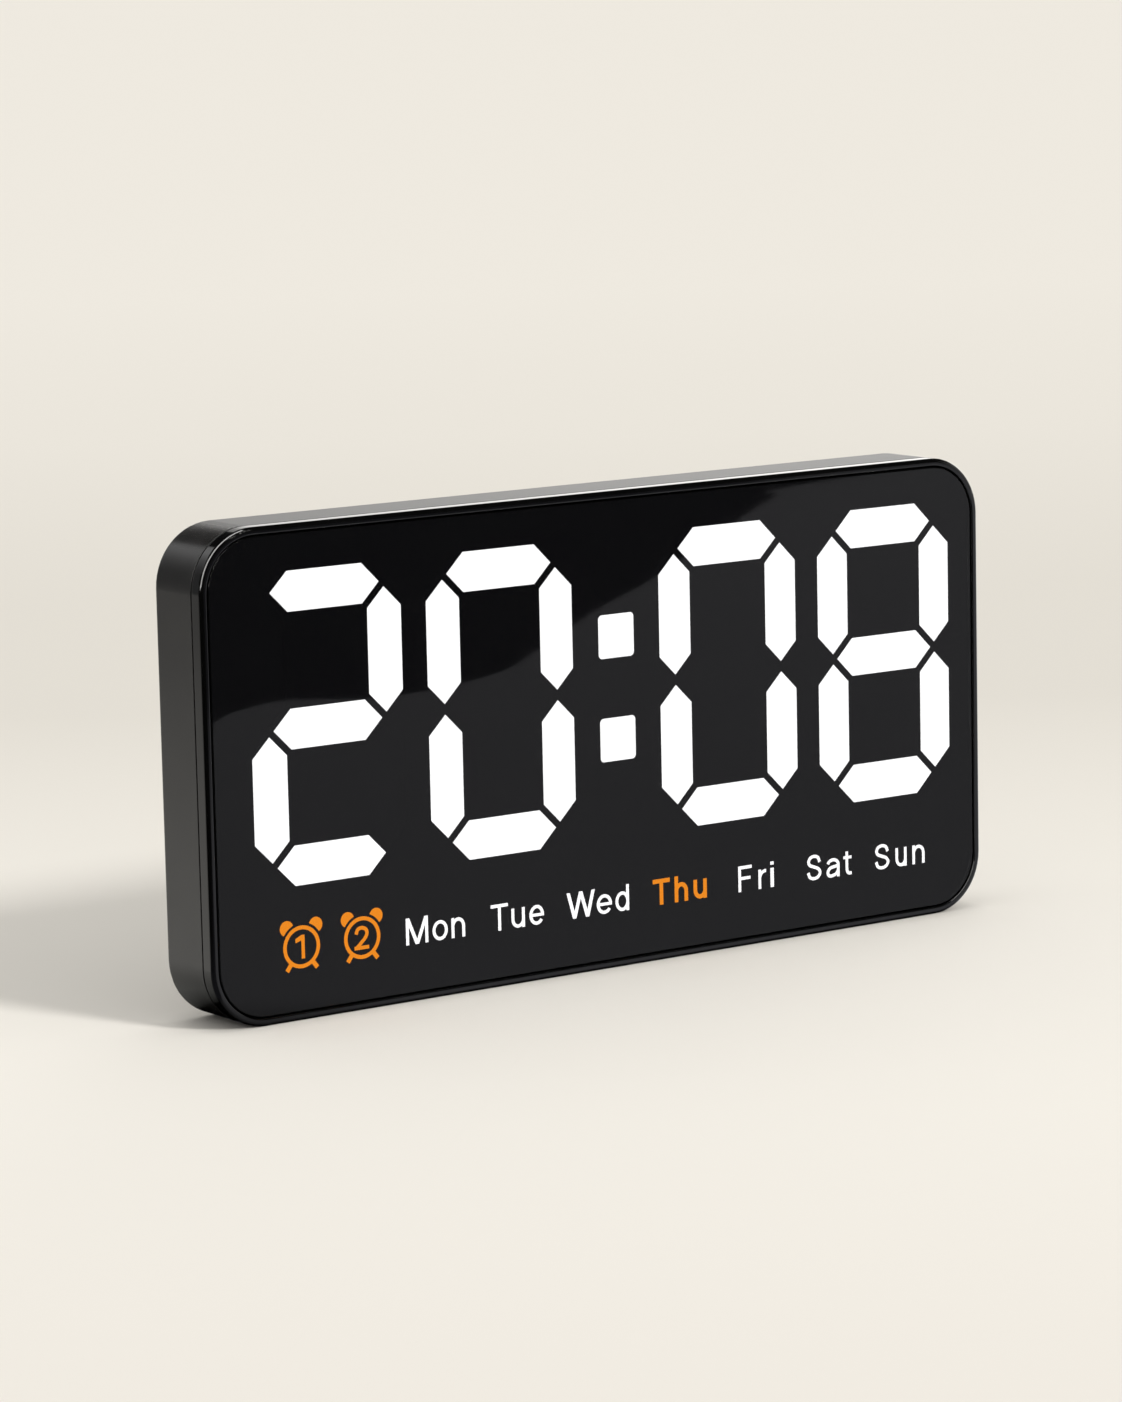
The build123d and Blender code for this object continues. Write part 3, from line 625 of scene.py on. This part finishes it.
def rounded_outline(low, high, corner, inset):
    """Points of a rounded rectangle, counterclockwise seen from the front."""
    points = []
    radius = corner - inset
    for x, z, start in (
        (high.x - corner, high.z - corner, 0), (low.x + corner, high.z - corner, 90),
        (low.x + corner, low.z + corner, 180), (high.x - corner, low.z + corner, 270),
    ):
        turns = [radians(start + 90 * i / PANE_CORNER_STEPS) for i in range(PANE_CORNER_STEPS + 1)]
        points += [(x + radius * cos(a), z + radius * sin(a)) for a in turns]
    return points


def make_pane(materials):
    low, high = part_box("display_lens")
    bm = bmesh.new()
    rows = []
    for i in range(PANE_ROUND_STEPS + 1):
        turn = radians(90 * i / PANE_ROUND_STEPS)
        inset, depth = PANE_ROUND * (1 - sin(turn)), PANE_ROUND * (1 - cos(turn))
        rows.append([(x, low.y + depth, z) for x, z in rounded_outline(low, high, PANE_CORNER, inset)])
    rows.append([(x, low.y + PANE_THICKNESS, z) for x, _, z in rows[-1]])
    rings = [[bm.verts.new(p) for p in row] for row in rows]
    count = len(rings[0])
    bm.faces.new(rings[0])
    bm.faces.new(rings[-1][::-1])
    for a, b in zip(rings, rings[1:]):
        for i in range(count):
            j = (i + 1) % count
            bm.faces.new((a[j], a[i], b[i], b[j])).smooth = True
    bmesh.ops.recalc_face_normals(bm, faces=bm.faces)
    mesh = bpy.data.meshes.new("lens_pane")
    bm.to_mesh(mesh)
    bm.free()
    mesh.materials.append(materials["smoked_lens"])
    pane = bpy.data.objects.new("lens_pane", mesh)
    scene.collection.objects.link(pane)
    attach(pane, "case")
    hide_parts("display_lens")


# Stage, in metres: a floor, and sheets that only the reflections see
# Tones run along a direction on the floor, from its START to its END
FLOOR_REACH = 30.0
FLOOR_GLOSS = 0.0
AWAY = (0.5777, 0.8163, 0.0)
AWAY_START, AWAY_END = -1.0, 9.0
# Painted light and shade on the floor: its tone rises and falls in bands along AWAY, darkest in a band behind
# the clock
FLOOR_LIGHT_AND_SHADE = [
    (0.06, (0.825, 0.795, 0.745)), (0.084, (0.87, 0.845, 0.795)), (0.11, (0.84, 0.815, 0.765)),
    (0.145, (0.72, 0.695, 0.645)), (0.175, (0.72, 0.695, 0.645)), (0.24, (0.77, 0.745, 0.695)),
    (0.35, (0.80, 0.775, 0.725)),
]
# Painted contact shadow: the floor's tone is scaled down to CONTACT_SHADE where the ambient occlusion finds
# the clock close
CONTACT_REACH = 0.008
CONTACT_SAMPLES = 3
CONTACT_SHADE = 0.82
CONTACT_DEEP, CONTACT_OPEN = 0.4, 1.0
# Painted reflection of the floor, a glowing sheet only gloss sees; its tone runs along LEFT_BACK, with a dark
# band for a painted shadow beside the clock's left end
MIRROR_DROP = 0.002
LEFT_BACK = (-0.57, 0.82, 0.0)
LEFT_BACK_START, LEFT_BACK_END = -1.2, 0.8
FLOOR_REFLECTION_TONES = [
    (0.0, (0.75, 0.75, 0.79)), (0.5, (0.61, 0.61, 0.65)), (0.606, (0.61, 0.61, 0.65)),
    (0.63, (0.12, 0.12, 0.12)), (0.645, (0.3, 0.3, 0.28)), (0.675, (0.92, 0.90, 0.85)),
    (0.75, (0.83, 0.81, 0.76)), (1.0, (0.43, 0.42, 0.40)),
]
DARK_FLOOR_DROP = 0.001
DARK_FLOOR_START = [(-0.132, 0.0), (-0.132, -0.012)]
DARK_FLOOR_CURVE = [
    (0.142, -0.446), (0.16, -0.462), (0.188, -0.473), (0.213, -0.458), (0.24, -0.457), (0.286, -0.477),
    (0.329, -0.514), (0.416, -0.594), (0.49, -0.656), (0.63, -0.785), (0.715, -0.861), (0.77, -0.896),
    (1.2, -1.0),
]
DARK_FLOOR_LEFT = [(-3.0, -1.0), (-3.0, 1.2)]
RIGHT_BACK = (0.846, 0.534, 0.0)
RIGHT_BACK_START, RIGHT_BACK_END = -0.25, -0.14
DARK_FLOOR_TONES = [(0.0, grey(0.005)), (1.0, (0.09, 0.09, 0.11))]
# Painted shadow under the case and beside its lower left corner, dark sheets that only gloss sees; the
# corner's tone darkens towards the case
CASE_SHADOW = [(-0.112, -0.013), (0.122, -0.013), (0.122, 0.02), (-0.112, 0.02)]
CORNER_SHADOW = [(-0.132, -0.012), (-0.112, -0.012), (-0.112, 0.03), (-0.132, 0.022)]
RIGHT_FRONT = (0.781, -0.625, 0.0)
RIGHT_FRONT_START, RIGHT_FRONT_END = -0.1132, -0.0984
CORNER_SHADOW_TONES = [(0.0, (0.35, 0.35, 0.33)), (1.0, grey(0.0))]
FAR_FLOOR = [(-3.0, -3.0), (3.0, -3.0), (3.0, -1.0), (-3.0, -1.0)]
CEILING_HEIGHT = 1.5
CEILING = [(-3.0, -2.9), (3.0, -2.9), (3.0, 2.8), (-3.0, 2.8)]
DARK_WALL = [(-2.6, 1.2), (-2.8, 0.0), (-2.2, -1.8), (0.0, -2.8), (2.2, -2.0)]
DARK_ROOM_TONES = [(NOISE_LOW, grey(0.01)), (NOISE_HIGH, grey(0.02))]
PALE_WALL = [(-0.278, 1.981), (-0.845, 1.813), (-1.414, 1.414), (-1.732, 1.0)]
PALE_WALL_TONES = [
    (0.1, grey(0.19)), (0.36, grey(0.19)), (0.53, grey(0.33)), (0.69, grey(0.6)), (0.82, grey(1.15)),
    (0.88, grey(0.95)), (0.94, grey(0.12)), (1.0, grey(0.02)),
]
STRIP_TURN = (-10.0, 89.0)
STRIP_STEPS = 12
STRIP_NEAR = {"middle": (0.1, -0.53, 0.2), "reach": (1.2, 0.33, 1.08)}
STRIP_FAR = {"middle": (0.05, 0.02, 0.2), "reach": (1.43, 0.31, 1.2)}
STRIP_TONES = [(NOISE_LOW, (0.95, 0.94, 0.92)), (NOISE_HIGH, (1.0, 0.99, 0.97))]
STRIP_STRENGTH = 12.0
UNEVEN_SCALE = 3.0


def stage_sheet(name, points, faces, paint):
    mesh = bpy.data.meshes.new(name)
    mesh.from_pydata(points, [], faces)
    mesh.materials.append(paint.material)
    sheet = bpy.data.objects.new(name, mesh)
    scene.collection.objects.link(sheet)
    return sheet


def mirror_sheet(name, points, faces, paint):
    """A sheet that only glossy reflections see."""
    sheet = stage_sheet(name, points, faces, paint)
    sheet.visible_camera = False
    sheet.visible_diffuse = False
    sheet.visible_shadow = False
    sheet.visible_transmission = False


def level(outline, z):
    return [(x, y, z) for x, y in outline], [tuple(range(len(outline)))]


def band(first, second):
    count = len(first)
    return first + second, [(i, i + 1, count + i + 1, count + i) for i in range(count - 1)]


def upright(path):
    """A wall along a path, from the floor to the ceiling."""
    return band(*([(x, y, z) for x, y in path] for z in (0.0, CEILING_HEIGHT)))


def glowing(name, strength=1.0):
    """A black surface that gives off its tone as light."""
    paint = Paint(name)
    paint.set(Base_Color=(0.0, 0.0, 0.0, 1.0), Specular_IOR_Level=0.0, Emission_Strength=strength)
    paint.material.cycles.emission_sampling = "NONE"
    return paint


def make_floor():
    r = FLOOR_REACH
    square = [(-r, -r), (r, -r), (r, r), (-r, r)]
    paint = Paint("floor").set(Specular_IOR_Level=FLOOR_GLOSS)
    tone = paint.ramp(paint.along(AWAY, AWAY_START, AWAY_END), FLOOR_LIGHT_AND_SHADE)
    # Painted contact shadow round the clock's foot
    openness = paint.openness(CONTACT_REACH, CONTACT_SAMPLES)
    shade = paint.tree.nodes.new("ShaderNodeVectorMath")
    shade.operation = "SCALE"
    paint.link(tone, shade.inputs["Vector"])
    paint.link(paint.span(openness, CONTACT_SHADE, 1.0, CONTACT_DEEP, CONTACT_OPEN), shade.inputs["Scale"])
    paint.link(shade.outputs["Vector"], paint.shader.inputs["Base Color"])
    stage_sheet("floor", *level(square, 0.0), paint).visible_glossy = False
    # A painted reflection of the floor, with a painted shadow beside the clock
    paint = glowing("painted_floor_reflection")
    paint.glow(paint.along(LEFT_BACK, LEFT_BACK_START, LEFT_BACK_END), FLOOR_REFLECTION_TONES)
    mirror_sheet("painted_floor_reflection", *level(square, -MIRROR_DROP), paint)


def make_dark_room():
    """The dark side of the room: floor before the clock, painted shadow under the case and its lower left
    corner, a ceiling, and a wall round the front.
    """
    paint = glowing("dark_floor")
    paint.glow(paint.along(RIGHT_BACK, RIGHT_BACK_START, RIGHT_BACK_END), DARK_FLOOR_TONES)
    outline = [*DARK_FLOOR_START, *smooth(DARK_FLOOR_CURVE), *DARK_FLOOR_LEFT]
    mirror_sheet("dark_floor", *level(outline, -DARK_FLOOR_DROP), paint)
    # Painted shadow under the case and its corner, seen only in reflections
    mirror_sheet("painted_shadow_under_case", *level(CASE_SHADOW, -DARK_FLOOR_DROP), paint)
    paint = glowing("painted_corner_shadow")
    paint.glow(paint.along(RIGHT_FRONT, RIGHT_FRONT_START, RIGHT_FRONT_END), CORNER_SHADOW_TONES)
    mirror_sheet("painted_shadow_under_corner", *level(CORNER_SHADOW, -DARK_FLOOR_DROP), paint)
    paint = glowing("dark_room")
    paint.glow(paint.noise(UNEVEN_SCALE), DARK_ROOM_TONES)
    mirror_sheet("far_floor", *level(FAR_FLOOR, -DARK_FLOOR_DROP), paint)
    mirror_sheet("dark_ceiling", *level(CEILING, CEILING_HEIGHT), paint)
    mirror_sheet("dark_wall", *upright(DARK_WALL), paint)


def make_pale_wall():
    """A wall behind the left, pale below the ceiling, that shows round the case's upper corner."""
    paint = glowing("pale_wall")
    paint.glow(paint.along(UP, 0.0, CEILING_HEIGHT), PALE_WALL_TONES)
    mirror_sheet("pale_wall", *upright(PALE_WALL), paint)


def strip_edge(middle, reach):
    """An arc from overhead down to the left that leans forward as it goes down."""
    start, end = STRIP_TURN
    turns = [radians(start + (end - start) * i / STRIP_STEPS) for i in range(STRIP_STEPS + 1)]
    x, y, z = middle
    return [(x - reach[0] * sin(a), y - reach[1] * sin(a), z + reach[2] * cos(a)) for a in turns]


def make_strip():
    """A long soft light overhead, from the left to the front, that shows along rounded edges."""
    paint = glowing("strip", STRIP_STRENGTH)
    paint.glow(paint.noise(UNEVEN_SCALE), STRIP_TONES)
    mirror_sheet("strip", *band(strip_edge(**STRIP_NEAR), strip_edge(**STRIP_FAR)), paint)


# Lights
KEY_FROM = (0.268, -0.782, 0.563)
KEY_SPREAD = 11.0
KEY_POWER = 1.85
KEY_COLOUR = (1.0, 0.98, 0.95)
ROOM_COLOUR = (1.0, 0.985, 0.955, 1.0)
ROOM_LIGHT = 0.71
GLOW_TOWARDS = (0.788, 0.616, 0.2)
GLOW_START, GLOW_END = 0.883, 0.988
GLOW_LIGHT = 1.3


def make_key():
    data = bpy.data.lights.new("key", "SUN")
    data.angle = radians(KEY_SPREAD)
    data.energy = KEY_POWER
    data.color = KEY_COLOUR
    light = bpy.data.objects.new("key", data)
    light.location = KEY_FROM
    light.rotation_euler = (-Vector(KEY_FROM)).to_track_quat("-Z", "Y").to_euler()
    scene.collection.objects.link(light)


def make_room():
    """An even pale room with a broad soft light low behind the clock, to its right."""
    world = bpy.data.worlds.new("studio")
    scene.world = world
    world.use_nodes = True
    tree = world.node_tree
    background = tree.nodes["Background"]
    background.inputs["Color"].default_value = ROOM_COLOUR
    place = tree.nodes.new("ShaderNodeTexCoord")
    towards = tree.nodes.new("ShaderNodeVectorMath")
    towards.operation = "DOT_PRODUCT"
    towards.inputs[1].default_value = Vector(GLOW_TOWARDS).normalized()
    glow = tree.nodes.new("ShaderNodeMapRange")
    glow.interpolation_type = "SMOOTHSTEP"
    glow.inputs["From Min"].default_value = GLOW_START
    glow.inputs["From Max"].default_value = GLOW_END
    glow.inputs["To Min"].default_value = ROOM_LIGHT
    glow.inputs["To Max"].default_value = ROOM_LIGHT + GLOW_LIGHT
    tree.links.new(place.outputs["Generated"], towards.inputs[0])
    tree.links.new(towards.outputs["Value"], glow.inputs["Value"])
    tree.links.new(glow.outputs["Result"], background.inputs["Strength"])
    scene.view_settings.view_transform = "Standard"


make_camera()
materials = make_materials()
slots = {row["node"]: row["material_slot"] for row in frame["record"]["subparts"]}
for name, node in nodes.items():
    node.data.materials.clear()
    node.data.materials.append(materials[slots[name]])
make_pane(materials)
make_lettering(materials)
make_signs(materials)
make_floor()
make_dark_room()
make_pale_wall()
make_strip()
make_key()
make_room()
